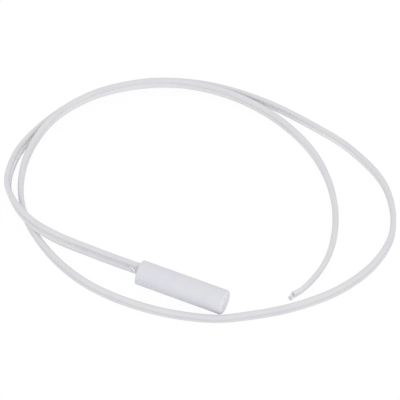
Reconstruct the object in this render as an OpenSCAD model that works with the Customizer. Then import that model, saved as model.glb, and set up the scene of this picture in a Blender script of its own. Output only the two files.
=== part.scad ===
// Potted temperature probe on a twin lead.
// A closed plastic sleeve holds a thermistor bead, two crimped joints and the
// stripped end of the lead, all set in potting. The sleeve lies on z = 0 along X,
// with its closed tip towards +X. The lead leaves the open mouth towards -X, runs
// once round and half round again on the same surface, and is cut on a slant at its
// free end, where the conductors stand out a little.

/* [Sleeve] */
// Length of the sleeve from its open mouth to its closed tip
sleeve_len = 28.5; // [26:0.5:32]
// Outside diameter of the sleeve
sleeve_d = 7.8; // [7.6:0.1:8.2]
// Thickness of the sleeve's round wall
wall = 0.9; // [0.6:0.05:1]
// Thickness of the closed tip
tip_wall = 1.2; // [0.8:0.1:2]
// Radius of the rounded edge of the tip
tip_round = 0.9; // [0.3:0.1:1.2]
// Bevel on the two edges of the mouth
mouth_bevel = 0.15; // [0.05:0.05:0.25]

/* [Potting] */
// How far the potting stops short of the mouth
potting_recess = 1; // [0.6:0.1:2]
// How far the potting climbs the wall at its rim
potting_climb = 0.4; // [0.1:0.05:0.5]

/* [Lead] */
// Diameter of the insulation on each of the two cores
core_d = 1.75; // [1.5:0.05:1.75]
// Distance between the two cores' centres
core_pitch = 2.1; // [1.95:0.05:2.1]
// Thickness of the web in the groove between the cores
web_t = 1.1; // [0.6:0.1:1.3]
// How far the lead sits to the side of the sleeve's axis
exit_side = 0.7; // [0:0.1:0.8]
// How far the lead sits above the sleeve's axis
exit_rise = 0.6; // [0:0.1:0.8]
// Roll of the lead in the sleeve, from side by side at 0 to on edge at 90
exit_roll = 60; // [0:5:90]
// Length of insulated lead that is held in the sleeve
held_len = 9; // [6:0.5:9]
// Diameter of the stranded conductor in each core
strand_d = 0.8; // [0.5:0.05:0.8]
// Bare conductor that stands out of each core at the free end
tip_len = 0.3; // [0.2:0.1:2]
// How much further the lower core reaches than the upper one at the free end
cut_slant = 0.8; // [0:0.1:1]
// How far the lower core has sprung aside at the free end
core_spring = 0.5; // [0:0.1:0.6]

/* [Crimped joints] */
// Outside diameter of a crimp barrel
crimp_d = 1.3; // [1.2:0.05:1.4]
// Length of a crimp barrel
crimp_len = 3; // [2.5:0.1:3.5]
// Wall of the shrunk tube over each joint
shrink_t = 0.25; // [0.15:0.05:0.25]

/* [Sensing bead] */
// Diameter of the dipped coat round the thermistor
bead_d = 2.6; // [2.3:0.1:3]
// Length of the dipped coat from its nose to its tail
bead_len = 3.5; // [3.2:0.1:4]
// Diameter of the thermistor disc
chip_d = 1.5; // [1.2:0.1:1.6]
// Thickness of the thermistor disc
chip_t = 0.5; // [0.3:0.05:0.6]
// Diameter of the thermistor's wire legs
leg_d = 0.3; // [0.2:0.05:0.35]

/* [Hidden] */
$fn = 64;

// Places along the sleeve, which is centred on x = 0 and lies on z = 0
mouth_x = -sleeve_len / 2;
tip_x = sleeve_len / 2;
sleeve_r = sleeve_d / 2;
axis_z = sleeve_r;
bore_r = sleeve_r - wall;
bore_end = tip_x - tip_wall;
bore_round = 0.4;
fill_x = mouth_x + potting_recess;

// The thermistor, from its nose near the closed tip back to its legs
bead_r = bead_d / 2;
bead_gap = 0.6;
bead_x = bore_end - bead_gap - bead_r;
tail_x = bore_end - bead_gap - bead_len;
tail_r = 0.62;
leg_sides = 8;
leg_flat = leg_d / 2 * cos(180 / leg_sides);
leg_y = chip_t / 2 + leg_flat;
leg_end_x = bead_x + 0.3;
leg_bend_x = 5;
leg_start_x = 1.9;

// The joints between the legs and the lead's conductors
crimp_x = 0.2;
strand_end_x = 1.5;
shrink_lap = 1.4;
shrink_slope = 0.6;
shrink_gap = 0.4;

// The lead's section, and the place where it is cut inside the sleeve
exit_y = exit_side;
exit_z = axis_z + exit_rise;
cut_x = mouth_x + held_len;
half_w = (core_pitch + core_d) / 2;
core_r = core_d / 2;
SECTION = [[half_w, 0], [core_pitch / 2, core_r], [0, web_t / 2], [-core_pitch / 2, core_r],
    [-half_w, 0], [-core_pitch / 2, -core_r], [0, -web_t / 2], [core_pitch / 2, -core_r]];
straight_len = 16;

// The lead's way over the surface: x, y, z and roll in degrees. Roll 0 lies the two
// cores side by side, and roll 90 stands the lead on edge, as it stays in its turns.
LAY = [
    [-43.5, 0.8, 5.5, 62], [-51.5, 2.3, 5.9, 72], [-57, 5, 5.9, 84],
    [-61.5, 8.6, 5, 95], [-66.5, 14.8, 2.8, 102], [-69.2, 26, 2.05, 103],
    [-66, 42.5, 1.95, 94], [-57, 58.5, 1.95, 88], [-44, 69.5, 1.95, 88],
    [-27, 76.2, 1.95, 82], [-6.5, 77.7, 1.95, 82], [11, 75.2, 1.95, 82],
    [28, 70.5, 1.95, 84], [43.5, 60.5, 1.95, 85], [51.3, 43, 1.95, 87],
    [50.2, 33, 1.95, 87], [45, 21.4, 1.95, 87], [34.3, 9, 1.95, 92],
    [21.4, -0.6, 1.95, 96], [14.2, -4.8, 1.95, 102], [4.8, -7.9, 1.95, 97],
    [-8.6, -10.1, 1.95, 93], [-30.7, -8.5, 1.95, 90], [-45.7, -2, 1.95, 90],
    [-57, 7.2, 1.95, 90], [-62.8, 16.5, 1.95, 90], [-66.1, 30.5, 2.4, 90],
    [-64.4, 41.8, 4.1, 90], [-57.3, 54.5, 5.1, 90], [-46.4, 64.9, 4.9, 94],
    [-32.4, 72.5, 4.1, 94], [-15.2, 75.4, 2.9, 90], [3.9, 71.9, 2, 90],
    [17.9, 64, 1.95, 90], [28.3, 52.5, 1.95, 87], [34.3, 39.5, 1.95, 96],
    [36, 29, 1.95, 104], [34.3, 18, 1.95, 110], [32.8, 14.2, 1.95, 114], [30.9, 11.5, 1.95, 115]];
ROUTE = concat([[cut_x, exit_y, exit_z, exit_roll],
    [mouth_x - straight_len, exit_y, exit_z, exit_roll]], LAY);
// A stretch shorter than this gets one ring, and so does the straight one at the start
short_chord = 6.5;

// A smooth curve through the route's points
function place(p) = [p[0], p[1], p[2]];
function unit(v) = v / norm(v);
LAST = len(ROUTE) - 1;
CHORD = [for (i = [0:LAST - 1]) norm(place(ROUTE[i + 1]) - place(ROUTE[i]))];
LINE = [for (i = [0:LAST - 1]) (ROUTE[i + 1] - ROUTE[i]) / CHORD[i]];
SLOPE = [for (i = [0:LAST])
    i == 0 ? LINE[0] :
    i == LAST ? LINE[LAST - 1] :
    (LINE[i - 1] * CHORD[i] + LINE[i] * CHORD[i - 1]) / (CHORD[i - 1] + CHORD[i])];
function on_curve(i, t) =
    (2 * t^3 - 3 * t^2 + 1) * ROUTE[i] + (t^3 - 2 * t^2 + t) * CHORD[i] * SLOPE[i]
    + (3 * t^2 - 2 * t^3) * ROUTE[i + 1] + (t^3 - t^2) * CHORD[i] * SLOPE[i + 1];
function along_curve(i, t) =
    (6 * t^2 - 6 * t) / CHORD[i] * (ROUTE[i] - ROUTE[i + 1])
    + (3 * t^2 - 4 * t + 1) * SLOPE[i] + (3 * t^2 - 2 * t) * SLOPE[i + 1];

// The stations where the lead gets a ring: the chord's number, and how far along it
STATIONS = [for (i = [0:LAST - 1])
    let (steps = (i == 0 || CHORD[i] < short_chord) ? 1 : 2)
    for (k = [0:steps - 1]) [i, k / steps],
    [LAST - 1, 1]];

// The free end is cut on a slant, and its lower core has sprung level to the outside
slant = cut_slant / core_pitch;
function spring(roll) = -core_spring * [cos(roll), sin(roll)];

// Directions at a station: travel, across towards core a, and square to both
function travel(s) = unit(place(along_curve(s[0], s[1])));
function inward(t) = unit(cross(t, [0, 0, 1]));
function towards_a(t, roll) = inward(t) * cos(roll) + cross(inward(t), t) * sin(roll);
function ring(s) =
    let (p = on_curve(s[0], s[1]), t = travel(s), a = towards_a(t, p[3]), b = cross(t, a),
        cut = s == STATIONS[len(STATIONS) - 1] ? 1 : 0)
    [for (q = SECTION)
        let (c = q + (q[0] < 0 ? cut * spring(p[3]) : [0, 0]))
        place(p) + c[0] * (a - cut * slant * t) + c[1] * b];

// The free end's directions, and the centre of a core's end in its slanted cut face
end_travel = travel([LAST - 1, 1]);
end_across = towards_a(end_travel, ROUTE[LAST][3]);
end_square = cross(end_travel, end_across);
end_facing = unit(end_travel + slant * end_across);
function core_end(side) =
    let (c = [side * core_pitch / 2, 0] + (side < 0 ? spring(ROUTE[LAST][3]) : [0, 0]))
    place(ROUTE[LAST]) + c[0] * (end_across - slant * end_travel) + c[1] * end_square;

// A skin over rings that all have the same number of points, closed at both ends
module skin(rings) {
    n = len(rings[0]);
    m = len(rings);
    sides = [for (i = [0:m - 2]) for (k = [0:n - 1])
        let (a = i * n + k, b = i * n + (k + 1) % n)
        each [[a, a + n, b + n], [a, b + n, b]]];
    caps = [[for (k = [0:n - 1]) k], [for (k = [n - 1:-1:0]) (m - 1) * n + k]];
    polyhedron(points = [for (r = rings) each r], faces = concat(sides, caps));
}

// Turns an outline of radius and place along X into a solid round the line at y, z
module turned(outline, y = 0, z = axis_z) {
    translate([0, y, z]) rotate([0, 90, 0]) rotate_extrude() polygon(outline);
}

// A round rod along X
module rod(x0, x1, r, y, z) {
    translate([x0, y, z]) rotate([0, 90, 0]) cylinder(h = x1 - x0, r = r);
}

// Quarter of a circle from the end face round to the side, for an edge at radius r, place x
function rounded_edge(r, x, e) =
    [for (a = [0:15:90]) [r - e + e * sin(a), x - e + e * cos(a)]];

// Where core a (side 1) or core b (side -1) lies in the sleeve
function core_y(side) = exit_y + side * core_pitch / 2 * cos(exit_roll);
function core_z(side) = exit_z + side * core_pitch / 2 * sin(exit_roll);

module sleeve_outer() {
    turned(concat([[0, tip_x]], rounded_edge(sleeve_r, tip_x, tip_round),
        [[sleeve_r, mouth_x + mouth_bevel], [sleeve_r - mouth_bevel, mouth_x], [0, mouth_x]]));
}

// The bore runs past the mouth, so that the mouth stays open
module sleeve_bore() {
    turned(concat([[0, bore_end]], rounded_edge(bore_r, bore_end, bore_round),
        [[bore_r, mouth_x + mouth_bevel], [bore_r + 2 * mouth_bevel, mouth_x - mouth_bevel],
        [0, mouth_x - mouth_bevel]]));
}

module sleeve() {
    color("#dedee6") difference() {
        sleeve_outer();
        sleeve_bore();
    }
}

// The fill up to its free face, which dishes and climbs the wall at the rim
module fill() {
    turned(concat([[0, bore_end]], rounded_edge(bore_r, bore_end, bore_round),
        [[bore_r, fill_x - potting_climb], [bore_r - 0.5 * potting_climb, fill_x - 0.4 * potting_climb],
        [bore_r - 1.5 * potting_climb, fill_x], [0, fill_x]]));
}

module potting() {
    color("#d8d8d6") difference() {
        fill();
        coat_blank();
        for (side = [-1, 1]) {
            leg(side);
            shrink_blank(side);
            conductor(side);
        }
        held_lead();
    }
}

module chip() {
    translate([bead_x, -chip_t / 2, axis_z]) rotate([-90, 0, 0]) cylinder(h = chip_t, d = chip_d);
}

module thermistor_chip() {
    color("#4a4a4e") chip();
}

// The dipped drop: a round nose that tapers back along the legs
module coat_blank() {
    nose = [for (a = [0:10:110]) [bead_r * sin(a), bead_x + bead_r * cos(a)]];
    turned(concat(nose, [[tail_r, tail_x], [0, tail_x]]));
}

module bead_coat() {
    color("#2b2b2d") difference() {
        coat_blank();
        chip();
        leg(-1);
        leg(1);
    }
}

// A leg lies on one face of the chip and spreads to its core, in parallel rings
module leg(side) {
    way = [[leg_end_x, side * leg_y, axis_z], [tail_x - 0.1, side * leg_y, axis_z],
        [leg_bend_x, core_y(side), core_z(side)], [leg_start_x, core_y(side), core_z(side)]];
    skin([for (p = way) [for (k = [0:leg_sides - 1])
        let (a = (k + 0.5) * 360 / leg_sides)
        p + leg_d / 2 * [0, cos(a), -sin(a)]]]);
}

module leg_a() {
    color("#b9bcc2") leg(1);
}

module leg_b() {
    color("#b9bcc2") leg(-1);
}

module crimp_blank(side) {
    bevel = 0.1;
    turned([[0, crimp_x], [crimp_d / 2 - bevel, crimp_x], [crimp_d / 2, crimp_x + bevel],
        [crimp_d / 2, crimp_x + crimp_len - bevel], [crimp_d / 2 - bevel, crimp_x + crimp_len],
        [0, crimp_x + crimp_len]], core_y(side), core_z(side));
}

// The barrel is pressed onto the strands at one end and the leg at the other
module crimp_barrel(side) {
    color("#c3c5c9") difference() {
        crimp_blank(side);
        conductor(side);
        leg(side);
    }
}

module crimp_barrel_a() {
    crimp_barrel(1);
}

module crimp_barrel_b() {
    crimp_barrel(-1);
}

// The shrunk tube follows the strands, the barrel and the leg
module shrink_blank(side) {
    strand_r = strand_d / 2 + shrink_t;
    barrel_r = crimp_d / 2 + shrink_t;
    thin_r = leg_d / 2 + shrink_t;
    x0 = cut_x + shrink_gap;
    x1 = crimp_x + crimp_len;
    turned([[0, x0], [strand_r, x0], [strand_r, crimp_x - shrink_slope], [barrel_r, crimp_x],
        [barrel_r, x1], [thin_r, x1 + shrink_slope], [thin_r, x1 + shrink_lap], [0, x1 + shrink_lap]],
        core_y(side), core_z(side));
}

module shrink_sleeve(side) {
    color("#1f1f22") difference() {
        shrink_blank(side);
        crimp_blank(side);
        conductor(side);
        leg(side);
    }
}

module shrink_sleeve_a() {
    shrink_sleeve(1);
}

module shrink_sleeve_b() {
    shrink_sleeve(-1);
}

module conductor(side) {
    rod(cut_x, strand_end_x, strand_d / 2, core_y(side), core_z(side));
}

module conductor_a() {
    color("#c9cbd0") conductor(1);
}

module conductor_b() {
    color("#c9cbd0") conductor(-1);
}

// The straight stretch that the potting holds, as an exact prism for its cavity
module held_lead() {
    translate([mouth_x, exit_y, exit_z]) rotate([exit_roll, 0, 0]) rotate([90, 0, 90])
        linear_extrude(height = held_len) polygon(SECTION);
}

module twin_lead() {
    color("#e2e2e8") skin([for (s = STATIONS) ring(s)]);
}

// A bare conductor that stands square on a core's cut face, with a bevelled end
module bare_tip(side) {
    bevel = 0.1;
    r = strand_d / 2;
    color("#c9cbd0") translate(core_end(side))
        rotate([0, acos(end_facing[2]), atan2(end_facing[1], end_facing[0])]) {
            cylinder(h = tip_len - bevel, r = r);
            translate([0, 0, tip_len - bevel]) cylinder(h = bevel, r1 = r, r2 = r - bevel);
        }
}

module bare_tip_a() {
    bare_tip(1);
}

module bare_tip_b() {
    bare_tip(-1);
}

sleeve();
potting();
thermistor_chip();
bead_coat();
leg_a();
leg_b();
crimp_barrel_a();
crimp_barrel_b();
shrink_sleeve_a();
shrink_sleeve_b();
conductor_a();
conductor_b();
twin_lead();
bare_tip_a();
bare_tip_b();
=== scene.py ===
"""Potted temperature probe on a twin lead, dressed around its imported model.

The lead is one figure-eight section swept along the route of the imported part. It
leaves the sleeve leaning, rolls on edge, and stays near that once round and about half
round again. Its free end is cut on a slant, with seven-strand conductors. The potting
creeps out along the lead at the mouth. Everything is in metres, in the part's frame.
"""

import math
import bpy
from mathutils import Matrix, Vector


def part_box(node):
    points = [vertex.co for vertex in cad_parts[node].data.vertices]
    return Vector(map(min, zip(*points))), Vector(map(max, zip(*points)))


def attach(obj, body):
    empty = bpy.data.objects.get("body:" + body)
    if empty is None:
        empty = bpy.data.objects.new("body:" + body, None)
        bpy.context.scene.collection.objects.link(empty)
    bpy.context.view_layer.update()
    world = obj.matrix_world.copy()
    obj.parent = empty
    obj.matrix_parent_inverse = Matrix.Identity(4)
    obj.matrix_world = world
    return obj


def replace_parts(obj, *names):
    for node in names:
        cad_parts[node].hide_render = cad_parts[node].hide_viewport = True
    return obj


bl_info = {
    "name": "Potted Temperature Probe",
    "version": (1, 0, 0),
    "blender": (4, 5, 0),
    "location": "View3D > Sidebar > Probe",
    "description": "Builds the lead, strands, potting, finishes and stage of a potted probe",
    "category": "Object",
}

import bmesh
import bpy
import numpy as np
from bpy.props import FloatProperty, FloatVectorProperty, IntProperty, PointerProperty
from bpy.types import Operator, Panel, PropertyGroup
from mathutils import Matrix, Vector

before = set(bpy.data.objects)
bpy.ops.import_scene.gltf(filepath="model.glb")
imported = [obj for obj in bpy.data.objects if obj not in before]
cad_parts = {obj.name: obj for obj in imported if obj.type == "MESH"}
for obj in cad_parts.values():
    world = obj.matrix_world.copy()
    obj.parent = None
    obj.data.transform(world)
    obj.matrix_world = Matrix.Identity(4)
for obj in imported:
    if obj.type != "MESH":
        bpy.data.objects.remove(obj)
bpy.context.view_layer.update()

BODY = "root"
MM = 0.001
MOUTH_X, TIP_X = (corner.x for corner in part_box("sleeve"))
RESIN_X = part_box("potting")[0].x

# Where the lead leaves the mouth, its roll there, and how far it is held and runs straight
EXIT = Vector((MOUTH_X, 0.7 * MM, 4.5 * MM))
EXIT_ROLL = 60
HELD_LENGTH = 9 * MM
STRAIGHT_LENGTH = 16 * MM

# The lead's way over the surface, as in the part: x, y, height and roll in degrees.
# Roll 0 lies the two cores side by side, and roll 90 stands the lead on edge.
LAY = [
    (-0.0435, 0.0008, 0.0055, 62), (-0.0515, 0.0023, 0.0059, 72), (-0.057, 0.005, 0.0059, 84),
    (-0.0615, 0.0086, 0.005, 95), (-0.0665, 0.0148, 0.0028, 102), (-0.0692, 0.026, 0.00205, 103),
    (-0.066, 0.0425, 0.00195, 94), (-0.057, 0.0585, 0.00195, 88), (-0.044, 0.0695, 0.00195, 88),
    (-0.027, 0.0762, 0.00195, 82), (-0.0065, 0.0777, 0.00195, 82), (0.011, 0.0752, 0.00195, 82),
    (0.028, 0.0705, 0.00195, 84), (0.0435, 0.0605, 0.00195, 85), (0.0513, 0.043, 0.00195, 87),
    (0.0502, 0.033, 0.00195, 87), (0.045, 0.0214, 0.00195, 87), (0.0343, 0.009, 0.00195, 92),
    (0.0214, -0.0006, 0.00195, 96), (0.0142, -0.0048, 0.00195, 102), (0.0048, -0.0079, 0.00195, 97),
    (-0.0086, -0.0101, 0.00195, 93), (-0.0307, -0.0085, 0.00195, 90), (-0.0457, -0.002, 0.00195, 90),
    (-0.057, 0.0072, 0.00195, 90), (-0.0628, 0.0165, 0.00195, 90), (-0.0661, 0.0305, 0.0024, 90),
    (-0.0644, 0.0418, 0.0041, 90), (-0.0573, 0.0545, 0.0051, 90), (-0.0464, 0.0649, 0.0049, 94),
    (-0.0324, 0.0725, 0.0041, 94), (-0.0152, 0.0754, 0.0029, 90), (0.0039, 0.0719, 0.002, 90),
    (0.0179, 0.064, 0.00195, 90), (0.0283, 0.0525, 0.00195, 87), (0.0343, 0.0395, 0.00195, 96),
    (0.036, 0.029, 0.00195, 104), (0.0343, 0.018, 0.00195, 110), (0.0328, 0.0142, 0.00195, 114),
    (0.0309, 0.0115, 0.00195, 115),
]
ROUTE = [
    (MOUTH_X + HELD_LENGTH, EXIT.y, EXIT.z, EXIT_ROLL),
    (MOUTH_X - STRAIGHT_LENGTH, EXIT.y, EXIT.z, EXIT_ROLL),
    *LAY,
]

# How far inside the mouth the shown lead starts. The first share of its rings holds all
# of them that are in the sleeve, and none of those that pass its X again further on.
SHOWN_INSIDE = 1.4 * MM
FIRST_SHARE = 0.25

# The free end: how far from it the lower core starts to spring aside and the cut to
# slant, from where to where across the lead it springs, how far the cut's edge is
# trimmed back and in, and the bores for the strands
SPRING_LENGTH = 3.5 * MM
SPRING_ACROSS = (0.2 * MM, -0.5 * MM)
SLANT_LENGTH = 2.5 * MM
CUT_EDGE_BACK = 0.06 * MM
CUT_EDGE_IN = 0.05 * MM
BORE_GAP = 0.01 * MM
BORE_DEPTH = 1.5 * MM
BORE_SIDES = 16

# The strands: how far they reach into their bores, how far out they are laid and how
# thick they are, in thirds of the conductor's radius, how much shorter some are cut,
# how much of the fan they and the middle one take, and the fan and twist in each core
STRAND_SEED = 7
STRAND_POINTS = 15
STRAND_INSIDE = 1.2 * MM
STRAND_PITCH = 2.02
STRAND_THICKNESS = 0.98
CUT_SHORT = 0.35
FAN_SHARES = (0.4, 1.25)
MIDDLE_SHARE = 0.25
UPPER_TIPS = (0.01 * MM, 0.1)
LOWER_TIPS = (0.05 * MM, 0.3)

# Painted light on the lead where it lies in shade: where its runs are painted paler, and
# where a band along the web is painted paler at its first turn: millimetres along the
# lead, and how much. Then how much of that painted light the web and the lower core take,
# and where the band and the core lie across the lead.
LIGHT_RUNS = (
    (80, 0), (92, 0.65), (150, 0.6), (168, 1.4), (194, 1.4), (204, 0.9), (212, 0.5), (225, 0),
    (405, 0), (418, 0.75), (445, 0.7), (465, 0.3), (500, 0.1), (510, 0.6), (522, 0.5), (530, 0))
LIGHT_BAND_RUNS = ((56, 0), (66, 1), (88, 1), (100, 0))
RUN_LIGHT_WEB, RUN_LIGHT_CORE = 0.52, 0.33
BAND_MIDDLE, BAND_EDGE = 0.05, (0.95, 0.45)
CORE_EDGE = (0.3, -0.3)

# How much painted light pales the web, the lower core and all of the lead near the cut,
# and how many millimetres from the cut that starts and is full
END_LIGHT_WEB, END_LIGHT_CORE, END_LIGHT_ALL = 0.75, 0.6, 0.2
END_LIGHT_RANGE = (9.1, 2.1)

# Across the lead in millimetres, lower core first: how far the potting has crept on the
# side that faces the camera and on the far one, as shares of its reach in the groove
OPEN_SIDE = (
    (-1.9, 0.41), (-1.1, 0.5), (-0.6, 0.62), (-0.4, 0.73), (-0.3, 0.9), (-0.15, 1),
    (0.2, 0.8), (0.7, 0.58), (1.3, 0.5), (1.9, 0.46))
FAR_SIDE = ((-1.9, 0.41), (-0.8, 0.4), (0, 0.56), (0.8, 0.45), (1.9, 0.46))

# The ridge of the potting on the lower core: millimetres across the lead and past the
# mouth, and where it fades in and out across the lead. Then its painted highlight and
# painted shade lines: strength, and distance and width in millimetres.
RIDGE_LINE = (
    (-1.9, 1.0), (-1.1, 1.35), (-0.9, 1.5), (-0.6, 1.85), (-0.45, 2.2), (-0.35, 2.65),
    (-0.2, 3.7))
RIDGE_SHADES = ((0.6, -0.66, 0.14), (-1, -0.34, 0.15), (0.95, 0, 0.17), (-0.9, 0.36, 0.15))
RIDGE_WIDTH = 0.25
RIDGE_IN, RIDGE_OUT = (0, -0.3), (-1.6, -1.1)

# The potting's film: its rows behind the front and then to the resin, its blunt front,
# how much thicker it is in the grooves, over what length it hides the lead, and how it
# flares where it comes out of the resin
FRONT_STEPS = MM * np.concatenate([(0, 0.01, 0.03, 0.06, 0.1), np.arange(0.15, 1.42, 0.07)])
RESIN_ROWS = 14
FRONT_LENGTH = 0.12 * MM
FRONT_SUNK = 0.02 * MM
GROOVE_FILM = 0.2 * MM
THIN_LENGTH = 0.9 * MM
FLARE_X = RESIN_X + 0.4 * MM
FLARE_SUNK = 0.15 * MM
FLARE_HEIGHT = 0.35 * MM
FLARE_LENGTH = 0.25 * MM

# The size of clumps of dust, where the sleeve's tip takes a painted highlight, and the
# colours of dust (on the lead also painted shade in its groove), of the tip's painted
# highlight and the lead's painted light, of the potting's painted crest highlight and of
# paper and light
DUST_CLUMP = 1.8 * MM
TIP_HIGHLIGHT_X = (TIP_X - 0.8 * MM, TIP_X - 0.3 * MM)
SLEEVE_DUST = (0.5, 0.49, 0.47)
LEAD_DUST_AND_SHADE = (0.45, 0.445, 0.45)
TIP_HIGHLIGHT_COLOUR = (0.9, 0.89, 0.92)
PAINTED_LIGHT_VINYL = (0.92, 0.92, 0.925)
RIDGE_HIGHLIGHT = (0.98, 0.98, 0.99)
WHITE = (1, 1, 1)

# The stage: the camera's sensor in millimetres, the soft lamp and where it stands from the
# target, and the floor's colour and glow, towards the part and as the camera sees them
SENSOR_WIDTH = 36
CLIP_RANGE = (0.01, 20)
LAMP_SIZE = (0.5, 0.4)
LAMP_WATTS = 14
LAMP_PLACE = 1.15 * Vector((0.3, -0.5, 0.81))
DIFFUSE_BOUNCES = 12
PAPER_LEVEL, SEEN_PAPER_LEVEL = 0.2, 0.12
PAPER_GLOW, SEEN_GLOW = 0.7, 0.89

# What the settings of a length and of a colour share
LENGTH = {"subtype": "DISTANCE", "unit": "LENGTH", "precision": 5}
COLOUR = {"subtype": "COLOR", "size": 3, "min": 0, "max": 1}


class LeadSettings(PropertyGroup):
    core_diameter: FloatProperty(
        name="Core diameter", description="Diameter of the insulation on one core",
        default=1.75 * MM, **LENGTH)
    core_pitch: FloatProperty(
        name="Core pitch", description="Distance between the two cores' centres",
        default=2.1 * MM, **LENGTH)
    web_thickness: FloatProperty(
        name="Web thickness", description="Thickness at the bottom of the groove",
        default=0.44 * MM, **LENGTH)
    ring_step: FloatProperty(
        name="Ring step", description="Distance between the lead's rings",
        default=0.7 * MM, **LENGTH)
    cut_slant: FloatProperty(
        name="Slant of the cut",
        description="How much further the lower core reaches at the free end",
        default=0.8 * MM, **LENGTH)
    core_spring: FloatProperty(
        name="Spring of the core",
        description="How far the lower core has sprung aside at the free end",
        default=0.5 * MM, **LENGTH)
    colour: FloatVectorProperty(
        name="Colour", description="Colour of the insulation",
        default=(0.75, 0.747, 0.763), **COLOUR)
    drift_colour: FloatVectorProperty(
        name="Drift colour", description="Colour that the insulation drifts to in patches",
        default=(0.728, 0.721, 0.757), **COLOUR)


class StrandSettings(PropertyGroup):
    conductor_diameter: FloatProperty(
        name="Conductor diameter", description="Diameter of the bundle of strands",
        default=0.8 * MM, **LENGTH)
    outer_strands: IntProperty(
        name="Outer strands", description="Strands laid round the middle one",
        default=6, min=3, max=12)
    bare_length: FloatProperty(
        name="Bare length", description="How far the strands stand out of the cut face",
        default=0.22 * MM, **LENGTH)
    colour: FloatVectorProperty(
        name="Colour", description="Colour of the tinned strands",
        default=(0.8, 0.8, 0.81), **COLOUR)
    # A lighter copy of the strands' colour for the lower core: painted light
    bright_colour: FloatVectorProperty(
        name="Bright colour", description="Colour of the strands in the lower core, lighter as painted light",
        default=(0.93, 0.93, 0.93), **COLOUR)


class PottingSettings(PropertyGroup):
    groove_reach: FloatProperty(
        name="Reach in the groove",
        description="How far past the mouth the potting creeps in the groove",
        default=4.4 * MM, **LENGTH)
    film: FloatProperty(
        name="Film", description="Thickness of the film on the lead",
        default=0.07 * MM, **LENGTH)
    bead: FloatProperty(
        name="Bead", description="How much thicker the film is along its ridge",
        default=0.14 * MM, **LENGTH)
    colour: FloatVectorProperty(
        name="Colour", description="Colour of the cured potting",
        default=(0.75, 0.737, 0.763), **COLOUR)


class SleeveSettings(PropertyGroup):
    colour: FloatVectorProperty(
        name="Colour", description="Colour of the moulded sleeve",
        default=(0.74, 0.74, 0.775), **COLOUR)
    drift_colour: FloatVectorProperty(
        name="Drift colour", description="Colour that the sleeve drifts to in patches",
        default=(0.72, 0.725, 0.79), **COLOUR)


class StageSettings(PropertyGroup):
    azimuth: FloatProperty(
        name="Azimuth", description="Camera's turn round the part, from looking along +Y",
        default=math.radians(23.35), subtype="ANGLE", unit="ROTATION")
    elevation: FloatProperty(
        name="Elevation", description="Camera's height above the horizon",
        default=math.radians(54), subtype="ANGLE", unit="ROTATION")
    target: FloatVectorProperty(
        name="Target", description="Point of the floor at the middle of the picture",
        default=(-9.28 * MM, 34.84 * MM, 0), size=3, subtype="TRANSLATION", unit="LENGTH")
    distance: FloatProperty(
        name="Distance", description="From the camera to the target",
        default=0.6985, **LENGTH)
    lens: FloatProperty(
        name="Lens", description="Focal length in millimetres, on a sensor 36 mm wide",
        default=200, min=20, max=400)
    floor_size: FloatProperty(
        name="Floor size", description="Side of the square floor",
        default=3, **LENGTH)
    sky: FloatProperty(
        name="Sky", description="Strength of the even light from all round",
        default=0.88, min=0, max=2)
    lamp: FloatProperty(
        name="Lamp", description="Strength of the soft lamp overhead",
        default=0.12, min=0, max=5)


def settings(name):
    """The scene's settings of that name."""
    return getattr(bpy.context.scene, "probe_" + name)


def ramp(value, start, end):
    """0 before the start, 1 past the end, and straight between them."""
    return np.clip((value - start) / (end - start), 0, 1)


def hump(value, middle, width):
    """A soft hump of height 1, with its middle and width in millimetres."""
    return np.exp(-(((value - middle * MM) / (width * MM)) ** 2))


def profile(places, table):
    """A value for each place, read off a table of places and values."""
    return np.interp(places, *zip(*table))


def run_length(points):
    """How far along a line each of its points lies."""
    steps = np.linalg.norm(np.diff(points, axis=0), axis=1)
    return np.concatenate([[0], np.cumsum(steps)])


def smooth_route(step):
    """Rings along the route: an array of x, y, z and roll, and one of directions."""
    points = np.array(ROUTE, float)
    chord = np.linalg.norm(np.diff(points[:, :3], axis=0), axis=1)
    line = np.diff(points, axis=0) / chord[:, None]
    before, after = chord[:-1, None], chord[1:, None]
    inner = (line[:-1] * after + line[1:] * before) / (before + after)
    slope = np.vstack([line[:1], inner, line[-1:]])
    rings, travel = [], []
    for i, length in enumerate(chord):
        last = i == len(chord) - 1
        for t in np.linspace(0, 1, max(2, round(length / step)) + 1)[: None if last else -1]:
            rings.append(
                (2 * t**3 - 3 * t**2 + 1) * points[i] + (t**3 - 2 * t**2 + t) * length * slope[i]
                + (3 * t**2 - 2 * t**3) * points[i + 1] + (t**3 - t**2) * length * slope[i + 1])
            travel.append(
                (6 * t**2 - 6 * t) / length * (points[i] - points[i + 1])
                + (3 * t**2 - 4 * t + 1) * slope[i] + (3 * t**2 - 2 * t) * slope[i + 1])
    rings, travel = np.array(rings), np.array(travel)[:, :3]
    return rings, travel / np.linalg.norm(travel, axis=1)[:, None]


def across_lead(travel, roll):
    """Unit vectors from the lead's middle to its upper core, and square to that and travel."""
    side = np.cross(travel, (0, 0, 1))
    side /= np.linalg.norm(side, axis=1)[:, None]
    up = np.cross(side, travel)
    turn = np.radians(roll)[:, None]
    towards_core = side * np.cos(turn) + up * np.sin(turn)
    return towards_core, np.cross(travel, towards_core)


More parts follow.
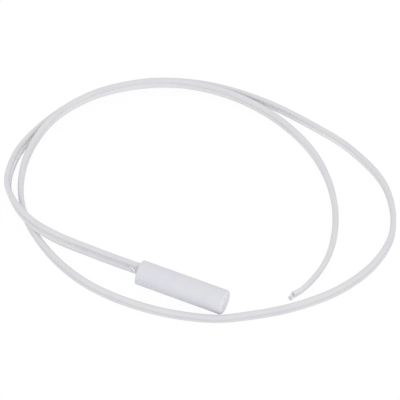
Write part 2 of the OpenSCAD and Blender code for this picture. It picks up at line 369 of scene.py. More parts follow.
def figure_eight(lead, lobe_points=19, groove_points=5):
    """The lead's outline, anticlockwise, upper core first, and how deep each point lies.

    Two round lobes are joined by a web. Each side of the web is one round groove that
    touches both lobes, so the outline has no corner. Depth is 0 on a lobe's crown and
    1 at the bottom of a groove.
    """
    radius, half, web = lead.core_diameter / 2, lead.core_pitch / 2, lead.web_thickness / 2
    groove_radius = (half**2 + web**2 - radius**2) / (2 * (radius - web))
    groove_height = web + groove_radius
    shoulder = math.atan2(groove_height, half)
    points = [
        (half + radius * math.cos(a), radius * math.sin(a))
        for a in np.linspace(shoulder - math.pi, math.pi - shoulder, lobe_points)]
    points += [
        (groove_radius * math.cos(a), groove_height + groove_radius * math.sin(a))
        for a in np.linspace(-shoulder, shoulder - math.pi, groove_points + 2)[1:-1]]
    points = np.array(points + [(-u, -w) for u, w in points])
    rise = np.abs(points[:, 1]) / radius
    sunk = np.clip((1 - rise) / (1 - web / radius), 0, 1)
    return points, np.where(np.abs(points[:, 0]) < half, sunk, 0)


def lay_section(lead, outline, ring, axes, left=0):
    """An outline's points square on a ring, or sprung and slanted near the free end.

    Axes are the directions to the upper core, square to that and to travel, and of travel.
    Left is the distance to the free end, where the lower core has sprung to the side.
    """
    side, square, along = axes
    turn = math.radians(ring[3])
    lower = ramp(outline[:, :1], *SPRING_ACROSS)
    aside = lower * lead.core_spring * ramp(left, SPRING_LENGTH, 0) ** 2
    moved = outline - aside * np.array((math.cos(turn), math.sin(turn)))
    slant = lead.cut_slant / lead.core_pitch * ramp(left, SLANT_LENGTH, 0)
    return ring[:3] + moved[:, :1] * (side - slant * along) + moved[:, 1:] * square


def outward(outline):
    """Unit normals of a closed anticlockwise outline."""
    along = np.roll(outline, -1, axis=0) - np.roll(outline, 1, axis=0)
    normal = np.stack([along[:, 1], -along[:, 0]], axis=1)
    return normal / np.linalg.norm(normal, axis=1)[:, None]


def add_rows(mesh, rows):
    """Vertices in rows, each row a closed loop, with quads from row to row."""
    made = [[mesh.verts.new(p) for p in row] for row in rows]
    around = len(made[0])
    for low, high in zip(made, made[1:]):
        for j in range(around):
            k = (j + 1) % around
            mesh.faces.new((low[j], low[k], high[k], high[j])).smooth = True
    return made


def add_wire(mesh, line, radius, sides=10):
    """A round wire along a line of points, its far end rounded off a little."""
    tip_width, tip_height = 0.82, 0.2 * radius
    rows, side = [], None
    for i, centre in enumerate(line):
        along = (line[min(i + 1, len(line) - 1)] - line[max(i - 1, 0)]).normalized()
        side = along.orthogonal() if side is None else side - along * side.dot(along)
        side.normalize()
        other = along.cross(side)
        rows.append([
            centre + (side * math.cos(a) + other * math.sin(a)) * radius
            for a in np.linspace(0, math.tau, sides, endpoint=False)])
    along = (line[-1] - line[-2]).normalized()
    tip = [line[-1] + (p - line[-1]) * tip_width + along * tip_height for p in rows[-1]]
    made = add_rows(mesh, rows + [tip])
    mesh.faces.new(made[-1])
    mesh.faces.new(made[0][::-1])


def new_object(name, data):
    """An object in the scene."""
    made = bpy.data.objects.new(name, data)
    bpy.context.scene.collection.objects.link(made)
    return made


def new_piece(name, mesh, finish):
    """An object made from a bmesh, with its finish, riding on the part."""
    bmesh.ops.recalc_face_normals(mesh, faces=mesh.faces)
    data = bpy.data.meshes.new(name)
    mesh.to_mesh(data)
    mesh.free()
    data.materials.append(finish)
    piece = new_object(name, data)
    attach(piece, BODY)
    return piece


# Shader groups: effects that several finishes share


def new_effect(name, result, result_kind, inputs):
    """An empty group with one result, and inputs of which each is its name, kind and value."""
    group = bpy.data.node_groups.new(name, "ShaderNodeTree")
    new_socket = group.interface.new_socket
    new_socket(name=result, in_out="OUTPUT", socket_type="NodeSocket" + result_kind)
    for label, kind, value in inputs:
        socket = new_socket(name=label, in_out="INPUT", socket_type="NodeSocket" + kind)
        if value is not None:
            socket.default_value = value
    given = group.nodes.new("NodeGroupInput").outputs
    return group, given, group.nodes.new("NodeGroupOutput").inputs[0]


def feed(tree, value, socket):
    """An input takes a link from an output, or a plain value."""
    if isinstance(value, bpy.types.NodeSocket):
        tree.links.new(value, socket)
    else:
        socket.default_value = value


def add(tree, kind, label="", **values):
    """A node with its properties set from lower-case names and its inputs from the rest."""
    node = tree.nodes.new("ShaderNode" + kind)
    node.label = label
    for key, value in values.items():
        if hasattr(node, key):
            setattr(node, key, value)
        else:
            feed(tree, value, node.inputs[key.replace("_", " ")])
    return node


def maths(tree, operation, first, second=0.0, clamp=False):
    """The result of a Math node. Each of the two is a socket or a number."""
    node = add(tree, "Math", operation=operation, use_clamp=clamp)
    feed(tree, first, node.inputs[0])
    feed(tree, second, node.inputs[1])
    return node.outputs[0]


def times(tree, vector, number):
    """A vector or a colour multiplied by a number."""
    node = add(tree, "VectorMath", operation="SCALE", Scale=number)
    feed(tree, vector, node.inputs[0])
    return node.outputs[0]


def in_cells(tree, vector, size):
    """A position measured in cells of a given size."""
    return times(tree, vector, maths(tree, "DIVIDE", 1.0, size))


def spread(tree, value, low, high, to_low=0.0, to_high=1.0):
    """A value's range from low to high, carried smoothly to another range."""
    node = add(
        tree, "MapRange", interpolation_type="SMOOTHSTEP", Value=value,
        From_Min=low, From_Max=high, To_Min=to_low, To_Max=to_high)
    return node.outputs["Result"]


def blend_colours(tree, share, first, second):
    """Two colours mixed by a share. Each is a socket or a colour."""
    node = add(tree, "Mix", data_type="RGBA")
    # The Mix node's sockets for colours are its inputs 0, 6 and 7 and its output 2
    for index, value in ((0, share), (6, first), (7, second)):
        feed(tree, value, node.inputs[index])
    return node.outputs[2]


def noise(tree, place, label, **values):
    """A soft noise over a position, from 0 to 1."""
    return add(tree, "TexNoise", label, Vector=place, **values).outputs["Fac"]


def cloudy_colour():
    """Two close colours that drift into each other in soft patches, under fine specks."""
    group, given, result = new_effect("Cloudy colour", "Colour", "Color", [
        ("Position", "Vector", None),
        ("Colour", "Color", (0.8, 0.8, 0.8, 1)),
        ("Drift colour", "Color", (0.7, 0.7, 0.7, 1)),
        ("Patch size", "Float", 0.006),
        ("Speckle", "Float", 0.02),
    ])
    place = in_cells(group, given["Position"], given["Patch size"])
    cloud = noise(group, place, "Patches", Scale=1.0, Detail=3.0, Roughness=0.55)
    patches = spread(group, cloud, 0.36, 0.64)
    colour = blend_colours(group, patches, given["Colour"], given["Drift colour"])
    specks = noise(group, place, "Specks", Scale=23.0, Detail=2.0, Roughness=0.6)
    level = spread(group, specks, 0.3, 0.7, to_low=-1.0)
    gain = maths(group, "ADD", maths(group, "MULTIPLY", level, given["Speckle"]), 1.0)
    feed(group, times(group, colour, gain), result)
    return group


def fine_grain():
    """The height of a fine pitted skin with slow waves in it, in units of its depth."""
    group, given, result = new_effect("Fine grain", "Height", "Float", [
        ("Position", "Vector", None),
        ("Grain size", "Float", 0.0004),
        ("Waviness", "Float", 0.3),
    ])
    place = in_cells(group, given["Position"], given["Grain size"])
    pits = add(
        group, "TexVoronoi", "Pits", feature="SMOOTH_F1", Vector=place, Scale=1.0, Smoothness=0.6)
    skin = noise(group, place, "Skin", Scale=1.7, Detail=4.0, Roughness=0.6)
    waves = noise(group, place, "Waves", Scale=0.09, Detail=1.0, Roughness=0.4)
    pitted = maths(group, "MULTIPLY", pits.outputs["Distance"], 0.5)
    wave_height = maths(group, "MULTIPLY", given["Waviness"], 12.0)
    swell = maths(group, "MULTIPLY", waves, wave_height)
    feed(group, maths(group, "ADD", maths(group, "ADD", pitted, skin), swell), result)
    return group


def draw_lines():
    """Faint lines along a drawn or extruded piece, from its distance along and around."""
    group, given, result = new_effect("Draw lines", "Lines", "Float", [
        ("Along", "Float", 0.0),
        ("Around", "Float", 0.0),
        ("Line length", "Float", 0.02),
        ("Lines around", "Float", 40.0),
    ])
    turn = maths(group, "MULTIPLY", given["Around"], math.tau)
    ring = maths(group, "DIVIDE", given["Lines around"], math.tau)
    place = add(
        group, "CombineXYZ", X=maths(group, "DIVIDE", given["Along"], given["Line length"]),
        Y=maths(group, "MULTIPLY", maths(group, "COSINE", turn), ring),
        Z=maths(group, "MULTIPLY", maths(group, "SINE", turn), ring))
    lines = noise(group, place.outputs[0], "Lines", Scale=1.0, Detail=2.0, Roughness=0.5)
    feed(group, spread(group, lines, 0.3, 0.7), result)
    return group


def handled_roughness():
    """A roughness that fingers and rubbing have changed in soft smears."""
    group, given, result = new_effect("Handled roughness", "Roughness", "Float", [
        ("Position", "Vector", None),
        ("Roughness", "Float", 0.5),
        ("Smear", "Float", 0.08),
        ("Smear size", "Float", 0.004),
    ])
    place = in_cells(group, given["Position"], given["Smear size"])
    smears = noise(
        group, place, "Smears", Scale=1.0, Detail=3.0, Roughness=0.65, Distortion=0.8)
    level = spread(group, smears, 0.3, 0.7, to_low=-1.0)
    change = maths(group, "MULTIPLY", level, given["Smear"])
    feed(group, maths(group, "ADD", given["Roughness"], change), result)
    return group


def settled_dust():
    """Dust in recesses, where it also paints shade, and, more thinly, on what faces up."""
    group, given, result = new_effect("Settled dust", "Dust", "Float", [
        ("Position", "Vector", None),
        ("Recess", "Float", 0.0),
        ("In recesses", "Float", 0.5),
        ("On top", "Float", 0.1),
    ])
    place = in_cells(group, given["Position"], DUST_CLUMP)
    clumps = noise(group, place, "Clumps", Scale=1.0, Detail=4.0, Roughness=0.7)
    patchy = spread(group, clumps, 0.35, 0.75, to_low=0.45)
    up = add(group, "SeparateXYZ", Vector=add(group, "NewGeometry").outputs["Normal"])
    top = maths(group, "MULTIPLY", spread(group, up.outputs["Z"], 0.3, 1.0), given["On top"])
    deep = maths(group, "MULTIPLY", given["Recess"], given["In recesses"])
    settled = maths(group, "ADD", top, deep)
    feed(group, maths(group, "MULTIPLY", settled, patchy, clamp=True), result)
    return group


def use(tree, effect, **values):
    """The result of an effect placed in a material. Its group is made once."""
    name = effect.__name__.replace("_", " ").capitalize()
    group = bpy.data.node_groups.get(name) or effect()
    return add(tree, "Group", name, node_tree=group, **values).outputs[0]


# Finishes


def opaque(colour, share=1):
    """A colour at a share of its brightness, with its alpha."""
    return (*(share * level for level in colour), 1)


def new_finish(name, **shader_values):
    """A material with its shader, and the position on the part that its textures follow."""
    material = bpy.data.materials.new(name)
    material.use_nodes = True
    tree = material.node_tree
    tree.nodes.clear()
    shader = add(tree, "BsdfPrincipled", **shader_values)
    add(tree, "OutputMaterial", Surface=shader.outputs["BSDF"])
    return material, tree, shader, add(tree, "TexCoord").outputs["Object"]


def cover(tree, shader, colour, roughness, height, depth):
    """A shader takes a colour, a roughness and a bump of a real depth in metres."""
    grain = add(tree, "Bump", "Grain", Strength=1.0, Distance=depth, Height=height)
    feed(tree, colour, shader.inputs["Base Color"])
    feed(tree, roughness, shader.inputs["Roughness"])
    feed(tree, grain.outputs["Normal"], shader.inputs["Normal"])


def unrolled(tree, layer):
    """Distance along and around a piece, from its texture coordinates."""
    route = add(tree, "UVMap", "Along and around", uv_map=layer)
    split = add(tree, "SeparateXYZ", Vector=route.outputs["UV"])
    return {"Along": split.outputs["X"], "Around": split.outputs["Y"]}


def marked(tree, name, label):
    """A value that the mesh's vertices carry."""
    return add(tree, "Attribute", label, attribute_name=name).outputs["Fac"]


def sleeve_finish():
    """Moulded off-white plastic: a fine even grain, faintly clouded, with a painted highlight at the
    tip.
    """
    sleeve = settings("sleeve")
    material, tree, shader, place = new_finish("Sleeve plastic", IOR=1.49, Specular_IOR_Level=0.25)
    colour = use(
        tree, cloudy_colour, Position=place, Colour=opaque(sleeve.colour),
        Drift_colour=opaque(sleeve.drift_colour), Patch_size=0.0045, Speckle=0.02)
    dust = use(tree, settled_dust, Position=place, In_recesses=0.0, On_top=0.05)
    dusty = blend_colours(tree, dust, colour, opaque(SLEEVE_DUST))
    along = add(tree, "SeparateXYZ", Vector=place).outputs["X"]
    # Painted highlight: the tip's rim and face are painted paler in spots
    at_tip = spread(tree, along, *TIP_HIGHLIGHT_X)
    spots = noise(tree, place, "Painted highlight spots", Scale=800.0, Detail=2.0, Roughness=0.5)
    worn = maths(
        tree, "MULTIPLY", at_tip, spread(tree, spots, 0.35, 0.65, to_low=0.15, to_high=0.55))
    # The sleeve's colour with the painted highlight on its tip
    rubbed = blend_colours(tree, worn, dusty, opaque(TIP_HIGHLIGHT_COLOUR))
    roughness = use(
        tree, handled_roughness, Position=place, Roughness=0.56, Smear=0.07, Smear_size=0.005)
    height = use(tree, fine_grain, Position=place, Grain_size=0.00022, Waviness=0.12)
    cover(tree, shader, rubbed, roughness, height, depth=0.012 * MM)
    return material


def lead_finish():
    """Extruded vinyl: lines along a clouded white, dust and painted shade in the groove, painted
    light.
    """
    lead = settings("lead")
    material, tree, shader, place = new_finish("Lead insulation", IOR=1.5, Specular_IOR_Level=0.25)
    colour = use(
        tree, cloudy_colour, Position=place, Colour=opaque(lead.colour),
        Drift_colour=opaque(lead.drift_colour), Patch_size=0.009, Speckle=0.012)
    lines = use(tree, draw_lines, **unrolled(tree, "Lead"), Line_length=0.014, Lines_around=46.0)
    faint = maths(tree, "MULTIPLY", lines, 0.16)
    lined = blend_colours(tree, faint, colour, opaque(lead.colour, 0.8))
    # Dust in the groove, which also paints shade into it
    recess = spread(tree, marked(tree, "groove", "Depth in the groove"), 0.7, 1.0)
    dust = use(tree, settled_dust, Position=place, Recess=recess, In_recesses=0.08, On_top=0.02)
    dusty = blend_colours(tree, dust, lined, opaque(LEAD_DUST_AND_SHADE))
    # Painted light: the lead is painted paler where it lies in shade and near the cut
    painted_light = marked(tree, "painted_light", "Painted light")
    paled = blend_colours(tree, painted_light, dusty, opaque(PAINTED_LIGHT_VINYL))
    rubbed = use(
        tree, handled_roughness, Position=place, Roughness=0.4, Smear=0.08, Smear_size=0.007)
    dull = maths(tree, "ADD", rubbed, maths(tree, "MULTIPLY", dust, 0.3))
    grain = use(tree, fine_grain, Position=place, Grain_size=0.00035, Waviness=0.25)
    height = maths(tree, "ADD", grain, maths(tree, "MULTIPLY", lines, 0.8))
    cover(tree, shader, paled, dull, height, depth=0.012 * MM)
    return material


def wire_finish(name, base):
    """Dull tinned copper: draw marks along the strands and a worn, cloudy shine."""
    material, tree, shader, place = new_finish(name, Metallic=1.0)
    lines = use(tree, draw_lines, **unrolled(tree, "Wire"), Line_length=0.0012, Lines_around=24.0)
    colour = use(
        tree, cloudy_colour, Position=place, Colour=opaque(base),
        Drift_colour=opaque(base, 0.8), Patch_size=0.0004, Speckle=0.05)
    faint = maths(tree, "MULTIPLY", lines, 0.35)
    lined = blend_colours(tree, faint, colour, opaque(base, 0.6))
    roughness = use(
        tree, handled_roughness, Position=place, Roughness=0.42, Smear=0.1, Smear_size=0.0005)
    cover(tree, shader, lined, roughness, lines, depth=0.004 * MM)
    return material


def potting_finish():
    """Cured potting resin: glossy, slightly grey and slightly uneven."""
    potting = settings("potting")
    material, tree, shader, place = new_finish("Potting resin", IOR=1.54)
    colour = use(
        tree, cloudy_colour, Position=place, Colour=opaque(potting.colour),
        Drift_colour=opaque(potting.colour, 0.9), Patch_size=0.0012, Speckle=0.02)
    thin = marked(tree, "thin", "Thin film")
    cleared = blend_colours(tree, thin, colour, opaque(settings("lead").colour))
    # Painted highlight on the ridge's crest and painted shade at its feet
    edge = marked(tree, "edge", "Painted highlight and shade of the ridge")
    crested = blend_colours(tree, edge, cleared, opaque(RIDGE_HIGHLIGHT))
    foot = maths(tree, "MULTIPLY", edge, -0.8, clamp=True)
    footed = blend_colours(tree, foot, crested, opaque(potting.colour, 0.6))
    roughness = use(
        tree, handled_roughness, Position=place, Roughness=0.2, Smear=0.06, Smear_size=0.0012)
    height = use(tree, fine_grain, Position=place, Grain_size=0.0011, Waviness=0.5)
    cover(tree, shader, footed, roughness, height, depth=0.02 * MM)
    return material


def inner_finish(name, base, roughness, patch, metallic=0.0):
    """A finish for a piece that the potting hides."""
    material, tree, shader, place = new_finish(name, Metallic=metallic)
    colour = use(
        tree, cloudy_colour, Position=place, Colour=opaque(base),
        Drift_colour=opaque(base, 0.82), Patch_size=patch, Speckle=0.04)
    rubbed = use(
        tree, handled_roughness, Position=place, Roughness=roughness, Smear=0.06, Smear_size=patch)
    height = use(tree, fine_grain, Position=place, Grain_size=0.00018, Waviness=0.2)
    cover(tree, shader, colour, rubbed, height, depth=0.006 * MM)
    return material


def dress(node, finish):
    """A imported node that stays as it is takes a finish."""
    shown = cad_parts[node]
    if not shown.material_slots:
        shown.data.materials.append(finish)
    for place in shown.material_slots:
        place.material = finish


class PROBE_OT_stage(Operator):
    """Set the camera, the light and the pale floor"""

    bl_idname = "probe.stage"
    bl_label = "Stage"

    def execute(self, context):
        stage = settings("stage")
        target = Vector(stage.target)
        turn, rise = stage.azimuth, stage.elevation
        level = math.cos(rise)
        right = Vector((math.cos(turn), math.sin(turn), 0))
        ahead = Vector((-math.sin(turn) * level, math.cos(turn) * level, -math.sin(rise)))
        above = right.cross(ahead)
        camera = new_object("camera", bpy.data.cameras.new("camera"))
        camera.data.sensor_width = SENSOR_WIDTH
        camera.data.lens = stage.lens
        camera.data.clip_start, camera.data.clip_end = CLIP_RANGE
        camera.matrix_world = Matrix.Translation(target - ahead * stage.distance) @ Matrix(
            (right, above, -ahead)).transposed().to_4x4()
        context.scene.camera = camera

        half = stage.floor_size / 2
        corners = [(-half, -half, 0), (half, -half, 0), (half, half, 0), (-half, half, 0)]
        data = bpy.data.meshes.new("floor")
        data.from_pydata(corners, [], [(0, 1, 2, 3)])
        data.materials.append(self.floor_paper())
        new_object("floor", data)

        lamp = bpy.data.lights.new("softbox", "AREA")
        lamp.shape = "RECTANGLE"
        lamp.size, lamp.size_y = LAMP_SIZE
        lamp.energy = stage.lamp * LAMP_WATTS
        softbox = new_object("softbox", lamp)
        softbox.location = target + LAMP_PLACE
        softbox.rotation_euler = LAMP_PLACE.to_track_quat("Z", "Y").to_euler()
        softbox.visible_camera = False

        context.scene.world = self.even_sky(stage.sky)
        context.scene.view_settings.view_transform = "Standard"
        context.scene.cycles.diffuse_bounces = DIFFUSE_BOUNCES
        return {"FINISHED"}

    def seen_straight(self, tree):
        """1 for what the camera sees, also in gloss and through glass."""
        path = add(tree, "LightPath").outputs
        shine = maths(tree, "MAXIMUM", path["Is Glossy Ray"], path["Is Transmission Ray"])
        return maths(tree, "MAXIMUM", path["Is Camera Ray"], shine)

    def floor_paper(self):
        """A pale light table: as bright to the part as white paper, but without deep shadows.

        Seen straight it is just white, with a trace of the shadows.
        """
        material, tree, shader, _ = new_finish(
            "Floor paper", Roughness=0.9, Specular_IOR_Level=0.0, Emission_Color=opaque(WHITE))
        seen = self.seen_straight(tree)
        paper = blend_colours(
            tree, seen, opaque(WHITE, PAPER_LEVEL), opaque(WHITE, SEEN_PAPER_LEVEL))
        feed(tree, paper, shader.inputs["Base Color"])
        added = maths(tree, "MULTIPLY", seen, SEEN_GLOW - PAPER_GLOW)
        glow = maths(tree, "ADD", added, PAPER_GLOW)
        feed(tree, glow, shader.inputs["Emission Strength"])
        return material

    def even_sky(self, strength):
        """Even light from all round, behind a white that only the camera sees."""
        sky = bpy.data.worlds.new("Even sky")
        sky.use_nodes = True
        tree = sky.node_tree
        tree.nodes.clear()
        level = maths(tree, "MULTIPLY", self.seen_straight(tree), 1 - strength)
        back = add(
            tree, "Background", Color=opaque(WHITE), Strength=maths(tree, "ADD", level, strength))
        add(tree, "OutputWorld", Surface=back.outputs[0])
        return sky


class PROBE_OT_lead(Operator):
    """Sweep the lead's insulation along its route"""

    bl_idname = "probe.lead"
    bl_label = "Lead"

    def execute(self, context):
        lead = settings("lead")
        rings, travel = smooth_route(lead.ring_step)
        hidden = rings[:, 0] > MOUTH_X + SHOWN_INSIDE
        hidden &= np.arange(len(rings)) <= int(len(rings) * FIRST_SHARE)
        rings, travel = rings[~hidden], travel[~hidden]
        distance = run_length(rings[:, :3])
        axes = list(zip(*across_lead(travel, rings[:, 3]), travel))
        outline, depth = figure_eight(lead)
        strained = self.strained(outline, depth, distance)

        mesh = bmesh.new()
        groove, painted_light = (mesh.verts.layers.float.new(name) for name in ("groove", "painted_light"))
        route = mesh.loops.layers.uv.new("Lead")
        rows = [
            lay_section(lead, outline, ring, ring_axes, distance[-1] - gone)
            for ring, ring_axes, gone in zip(rings, axes, distance)]
        rows[-1] = rows[-1] - travel[-1] * CUT_EDGE_BACK
        trimmed = outline - outward(outline) * CUT_EDGE_IN
        rows.append(lay_section(lead, trimmed, rings[-1], axes[-1]))
        made = add_rows(mesh, rows)
        mesh.faces.new(made[0][::-1]).smooth = False
        self.cut_face(mesh, made[-1], rings[-1], axes[-1])

        places = {}
        for row, vertices in enumerate(made):
            ring = min(row, len(rings) - 1)
            for j, vertex in enumerate(vertices):
                vertex[groove] = depth[j] if row < len(rings) else 0
                vertex[painted_light] = strained[ring, j]
                places[vertex] = (float(distance[ring]), j / len(outline))
        self.unroll(mesh, route, places, float(distance[-1]))

        jacket = new_piece("lead_jacket", mesh, lead_finish())
        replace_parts(jacket, "twin_lead")
        return {"FINISHED"}

    def strained(self, outline, depth, distance):
        """How far painted light pales the insulation, for each ring and point of the outline.

        The web and the lower core are painted paler where they lie in shade: at the back and
        at the right of the lead's turns. So is a band along the web where it first turns round,
        on the left, and all of it close to the cut.
        """
        # All of this paling is painted light that lifts the lead's shade
        gone, across = distance / MM, outline[:, 0] / MM
        lower = ramp(across, *CORE_EDGE)
        along_web = ramp(abs(across - BAND_MIDDLE), *BAND_EDGE)
        paled = np.outer(profile(gone, LIGHT_RUNS), RUN_LIGHT_WEB * depth + RUN_LIGHT_CORE * lower)
        paled += np.outer(profile(gone, LIGHT_BAND_RUNS), along_web)
        near_cut = ramp(gone[-1] - gone, *END_LIGHT_RANGE)
        paled += np.outer(near_cut, END_LIGHT_ALL + END_LIGHT_WEB * depth + END_LIGHT_CORE * lower)
        return np.clip(paled, 0, 1)

    def unroll(self, mesh, route, places, end):
        """Distance along and around as texture coordinates. The flat ends are one point."""
        flat = (end, 0.0)
        for face in mesh.faces:
            here = [places.get(loop.vert, flat) if face.smooth else flat for loop in face.loops]
            wrapped = max(v for _, v in here) > 0.9 and min(v for _, v in here) < 0.1
            for loop, (u, v) in zip(face.loops, here):
                loop[route].uv = (u, v + 1 if wrapped and v < 0.5 else v)

    def cut_face(self, mesh, rim, ring, axes):
        """The cut end: a figure-eight face with a bore for each conductor."""
        lead, strands = settings("lead"), settings("strands")
        bore = strands.conductor_diameter / 2 + BORE_GAP
        turns = np.linspace(0, math.tau, BORE_SIDES, endpoint=False)
        loops = [rim]
        for middle in (lead.core_pitch / 2, -lead.core_pitch / 2):
            hole = np.stack([middle + bore * np.cos(turns), bore * np.sin(turns)], axis=1)
            mouth = lay_section(lead, hole, ring, axes)
            made = add_rows(mesh, [mouth, mouth - axes[2] * BORE_DEPTH])
            mesh.faces.new(made[1])
            loops.append(made[0])
        edges = [mesh.edges.get(pair) for loop in loops for pair in zip(loop, loop[1:] + loop[:1])]
        filled = bmesh.ops.triangle_fill(
            mesh, use_beauty=True, edges=edges, normal=Vector(axes[2]))
        for face in filled["geom"]:
            if isinstance(face, bmesh.types.BMFace):
                face.smooth = False


class PROBE_OT_strands(Operator):
    """Lay the bare strands at the lead's free end"""

    bl_idname = "probe.strands"
    bl_label = "Strands"

    def execute(self, context):
        lead, strands = settings("lead"), settings("strands")
        rings, travel = smooth_route(lead.ring_step)
        side, square = across_lead(travel[-1:], rings[-1:, 3])
        axes = side[0], square[0], travel[-1]
        # The lower core's strands take the lighter copy of the tinned colour: painted light
        dull = wire_finish("Tinned wire", strands.colour)
        bright = wire_finish("Lighter tinned wire, painted light", strands.bright_colour)
        for name, node, finish, hand, fan, twist in (
                ("strands_a", "bare_tip_a", dull, 1, *UPPER_TIPS),
                ("strands_b", "bare_tip_b", bright, -1, *LOWER_TIPS)):
            middle = np.array([(hand * lead.core_pitch / 2, 0)])
            core = Vector(lay_section(lead, middle, rings[-1], axes)[0])
            mesh = bmesh.new()
            self.lay_strands(mesh, core, [Vector(axis) for axis in axes], fan, twist)
            self.unroll(mesh, core, Vector(axes[2]))
            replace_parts(new_piece(name, mesh, finish), node)
        return {"FINISHED"}

    def lay_strands(self, mesh, core, axes, fan, twist):
        """One middle strand, and the rest laid round it in a slow twist, fanned at the tips."""
        strands = settings("strands")
        side, square, along = axes
        radius = strands.conductor_diameter / 6
        chance = np.random.default_rng(STRAND_SEED)
        for k in range(strands.outer_strands + 1):
            middle = k == strands.outer_strands
            reach = strands.bare_length * (1 - CUT_SHORT * chance.random())
            lean, start = chance.uniform(*FAN_SHARES), math.tau * k / strands.outer_strands
            line = []
            for s in np.linspace(-STRAND_INSIDE, reach, STRAND_POINTS):
                gone = max(0, s / strands.bare_length)
                out = 0 if middle else radius * STRAND_PITCH
                out += fan * lean * (MIDDLE_SHARE if middle else 1) * gone**1.5
                angle = start + twist * gone
                line.append(
                    core + along * s + side * out * math.cos(angle)
                    + square * out * math.sin(angle))
            add_wire(mesh, line, radius * STRAND_THICKNESS)

    def unroll(self, mesh, core, along):
        """Distance along and around as texture coordinates."""
        route = mesh.loops.layers.uv.new("Wire")
        across = along.orthogonal().normalized()
        other = along.cross(across)
        for face in mesh.faces:
            for loop in face.loops:
                arm = loop.vert.co - core
                turn = math.atan2(arm.dot(other), arm.dot(across)) / math.tau
                loop[route].uv = (arm.dot(along), turn)


class PROBE_OT_potting(Operator):
    """Let the potting creep out along the lead"""

    bl_idname = "probe.potting"
    bl_label = "Potting"

    def execute(self, context):
        lead, potting = settings("lead"), settings("potting")
        rings, _ = smooth_route(lead.ring_step)
        near = rings[: int(len(rings) * FIRST_SHARE)]
        turn = math.radians(EXIT_ROLL)
        outline, depth = figure_eight(lead, lobe_points=27, groove_points=7)
        normal, arc = outward(outline), run_length(outline)
        across, over = outline.T / MM
        lower = ramp(across, *RIDGE_IN) * ramp(across, *RIDGE_OUT) * (over < 0)
        ridge = np.stack([arc, MOUTH_X - profile(across, RIDGE_LINE) * MM], axis=1)[lower > 0]
        front = MOUTH_X - self.creep(outline, potting)
        # A row has one place along X for each point of the outline
        rows, edges, thins = [], [], []
        for k, x in enumerate(self.stations(front)):
            back = x - front
            off = self.off_ridge(np.stack([arc, x], axis=1), ridge)
            bead = potting.bead * lower * hump(off, 0, RIDGE_WIDTH)
            blunt = np.sqrt(1 - ramp(back, FRONT_LENGTH, 0) ** 2)
            film = (potting.film + GROOVE_FILM * depth + bead) * blunt
            flare = FLARE_HEIGHT * np.exp(-np.abs(FLARE_X - x) / FLARE_LENGTH)
            sunk = FRONT_SUNK if k == 0 else 0
            high, wide = (outline + normal * (film + flare - sunk)[:, None]).T
            y, z = (np.interp(-x, -near[:, 0], near[:, i]) for i in (1, 2))
            rows.append(np.stack([
                x, y + high * math.cos(turn) + wide * math.sin(turn),
                z + high * math.sin(turn) - wide * math.cos(turn)], axis=1))
            # Painted highlight and painted shade lines along the ridge
            edges.append(lower * sum(level * hump(off, *where) for level, *where in RIDGE_SHADES))
            thins.append(np.exp(-np.abs(back) / THIN_LENGTH) * (1 - lower))
        mesh = bmesh.new()
        edge, thin = (mesh.verts.layers.float.new(name) for name in ("edge", "thin"))
        for vertices, *values in zip(add_rows(mesh, rows), edges, thins):
            for vertex, level, share in zip(vertices, *values):
                vertex[edge], vertex[thin] = level, share
        finish = potting_finish()
        new_piece("potting_creep", mesh, finish)
        dress("potting", finish)
        return {"FINISHED"}

    def stations(self, front):
        """Rows of places along X, close together behind the front and wider to the resin."""
        for back in FRONT_STEPS:
            yield front + back
        start, end = front + FRONT_STEPS[-1], FLARE_X + FLARE_SUNK
        for share in np.linspace(0, 1, RESIN_ROWS + 1)[1:]:
            yield start + (end - start) * share

    def off_ridge(self, places, ridge):
        """How far places lie from a ridge on the unrolled film, above 0 towards the mouth."""
        start, run = ridge[:-1], np.diff(ridge, axis=0)
        arm = places[:, None] - start
        share = np.clip((arm * run).sum(axis=2) / (run * run).sum(axis=1), 0, 1)
        away = np.linalg.norm(arm - share[:, :, None] * run, axis=2).min(axis=1)
        order = np.argsort(ridge[:, 0])
        ridge_x = np.interp(places[:, 0], ridge[order, 0], ridge[order, 1])
        return np.where(places[:, 1] > ridge_x, away, -away)

    def creep(self, outline, potting):
        """How far past the mouth the resin has crept at each point of the lead's outline.

        It runs furthest in the open groove, about half as far in the other one, and a
        little less far on the two cores.
        """
        across, over = outline.T / MM
        reach = np.where(over < 0, profile(across, OPEN_SIDE), profile(across, FAR_SIDE))
        return potting.groove_reach * reach


class PROBE_OT_sleeve(Operator):
    """Give the sleeve its moulded finish"""

    bl_idname = "probe.sleeve"
    bl_label = "Sleeve"

    def execute(self, context):
        dress("sleeve", sleeve_finish())
        return {"FINISHED"}


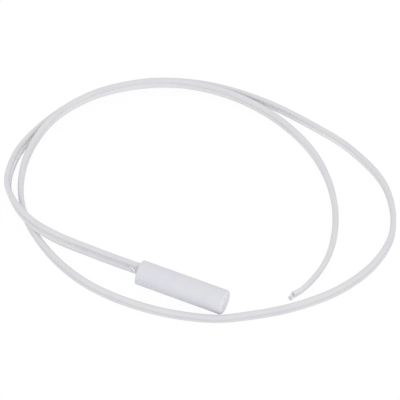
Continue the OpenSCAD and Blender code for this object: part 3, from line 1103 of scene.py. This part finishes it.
class PROBE_OT_thermistor(Operator):
    """Finish the thermistor and its joints inside the sleeve"""

    bl_idname = "probe.thermistor"
    bl_label = "Thermistor"

    def execute(self, context):
        wire = inner_finish("Tinned wire in potting", (0.6, 0.6, 0.61), 0.35, 0.0006, metallic=1.0)
        crimp = inner_finish("Crimp barrel metal", (0.68, 0.67, 0.64), 0.3, 0.001, metallic=1.0)
        tube = inner_finish("Shrunk tube", (0.03, 0.03, 0.032), 0.5, 0.002)
        ceramic = inner_finish("Thermistor ceramic", (0.05, 0.045, 0.05), 0.6, 0.0008)
        dress("thermistor_chip", ceramic)
        dress("bead_coat", inner_finish("Dipped coat", (0.02, 0.02, 0.022), 0.25, 0.0015))
        for hand in "ab":
            dress("leg_" + hand, wire)
            dress("conductor_" + hand, wire)
            dress("crimp_barrel_" + hand, crimp)
            dress("shrink_sleeve_" + hand, tube)
        return {"FINISHED"}


class PROBE_PT_panel(Panel):
    """The probe's pieces and their sizes"""

    bl_idname = "PROBE_PT_panel"
    bl_label = "Potted probe"
    bl_space_type = "VIEW_3D"
    bl_region_type = "UI"
    bl_category = "Probe"

    def draw(self, context):
        for name, group, operator in STEPS:
            box = self.layout.box()
            box.operator(operator.bl_idname)
            if group is not None:
                values = settings(name)
                for key in group.__annotations__:
                    box.prop(values, key)


STEPS = (
    ("stage", StageSettings, PROBE_OT_stage),
    ("lead", LeadSettings, PROBE_OT_lead),
    ("strands", StrandSettings, PROBE_OT_strands),
    ("potting", PottingSettings, PROBE_OT_potting),
    ("sleeve", SleeveSettings, PROBE_OT_sleeve),
    ("thermistor", None, PROBE_OT_thermistor),
)


def register():
    for name, group, operator in STEPS:
        if group is not None:
            bpy.utils.register_class(group)
            setattr(bpy.types.Scene, "probe_" + name, PointerProperty(type=group))
        bpy.utils.register_class(operator)
    bpy.utils.register_class(PROBE_PT_panel)


def unregister():
    bpy.utils.unregister_class(PROBE_PT_panel)
    for name, group, operator in reversed(STEPS):
        bpy.utils.unregister_class(operator)
        if group is not None:
            delattr(bpy.types.Scene, "probe_" + name)
            bpy.utils.unregister_class(group)


def main():
    register()
    bpy.ops.probe.stage()
    bpy.ops.probe.strands()
    bpy.ops.probe.lead()
    bpy.ops.probe.potting()
    bpy.ops.probe.sleeve()
    bpy.ops.probe.thermistor()


if __name__ == "__main__":
    main()
